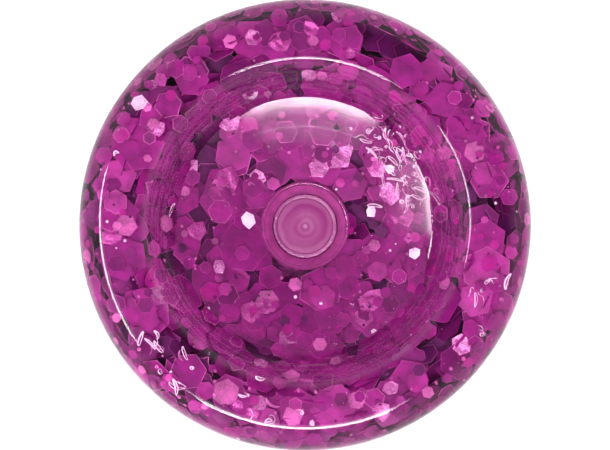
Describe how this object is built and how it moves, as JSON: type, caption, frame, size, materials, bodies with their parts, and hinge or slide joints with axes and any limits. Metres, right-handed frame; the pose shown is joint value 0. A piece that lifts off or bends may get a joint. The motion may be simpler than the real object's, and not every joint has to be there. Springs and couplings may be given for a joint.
{
  "type": "juggling club",
  "caption": "Juggling club with a clear glitter-filled body, a recessed ring crown with a centre plug, a wrapped handle and a round knob on a wooden dowel.",
  "frame": {"origin": "centre of the knob's flat foot", "axes": "+Z runs along the club's axis from the knob to the crown; the club is round about Z, so X and Y are free"},
  "size_m": [0.09, 0.09, 0.52],
  "materials": {
    "clear_shell": "clear gloss, pink tint",
    "clear_cap": "clear gloss, pink tint",
    "glitter": "hexagonal foil flakes in clear gel",
    "dark_liner": "satin",
    "pink_plug": "translucent, semi-gloss",
    "soft_seal": "matt",
    "white_bush": "matt",
    "beech": "sanded",
    "foam": "closed-cell foam",
    "grip_wrap": "soft satin",
    "tape": "gloss tape",
    "knob_rubber": "matt",
    "zinc_steel": "zinc plated"
  },
  "bodies": {
    "club": {"body_shell": "clear_shell", "body_glitter": "glitter", "body_liner": "dark_liner", "neck_seal": "soft_seal", "neck_bush": "white_bush", "crown_cap": "clear_cap", "crown_seal": "soft_seal", "crown_glitter": "glitter", "crown_hub": "dark_liner", "crown_washer": "zinc_steel", "crown_screw": "zinc_steel", "dowel": "beech", "handle_foam": "foam", "handle_wrap": "grip_wrap", "grip_band_lower": "tape", "grip_band_upper": "tape", "knob": "knob_rubber", "knob_washer": "zinc_steel", "knob_screw": "zinc_steel"},
    "plug": {"crown_button": "pink_plug"}
  },
  "joints": [
    {"name": "plug_pull", "type": "slide", "parent": "club", "child": "plug", "axis": [0, 0, 1], "range_m": [0, 0.012]}
  ]
}
